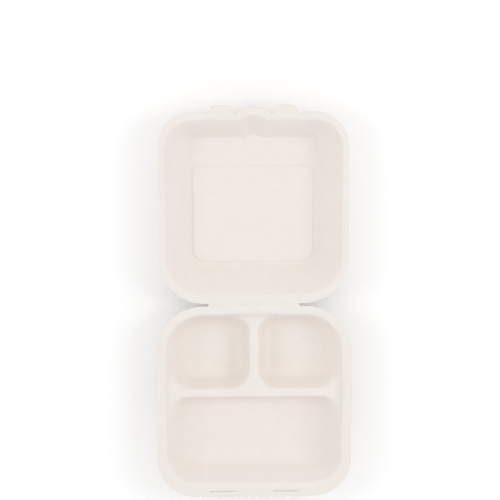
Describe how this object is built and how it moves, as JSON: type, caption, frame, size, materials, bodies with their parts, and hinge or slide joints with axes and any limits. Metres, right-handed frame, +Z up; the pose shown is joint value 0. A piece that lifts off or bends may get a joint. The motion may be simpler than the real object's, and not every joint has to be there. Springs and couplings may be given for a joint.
{
  "type": "hinged compartment foam tray",
  "caption": "Square hinged foam tray lying open: a base with one large and two small compartments, and a hollow lid with lock tabs.",
  "frame": {"origin": "middle of the open tray, on the plane that its undersides rest on", "axes": "+X across the tray to the right, +Y from the hinge to the lid's front edge, +Z up out of the hollows"},
  "size_m": [0.216, 0.44, 0.038],
  "materials": {
    "foam": "soft satin foam skin"
  },
  "bodies": {
    "base": {"base_tray": "foam"},
    "lid": {"lid": "foam"}
  },
  "joints": [
    {"name": "lid_hinge", "type": "hinge", "parent": "base", "child": "lid", "pos_m": [0, 0, 0.0381], "axis": [1, 0, 0], "range_deg": [0, 180]}
  ]
}
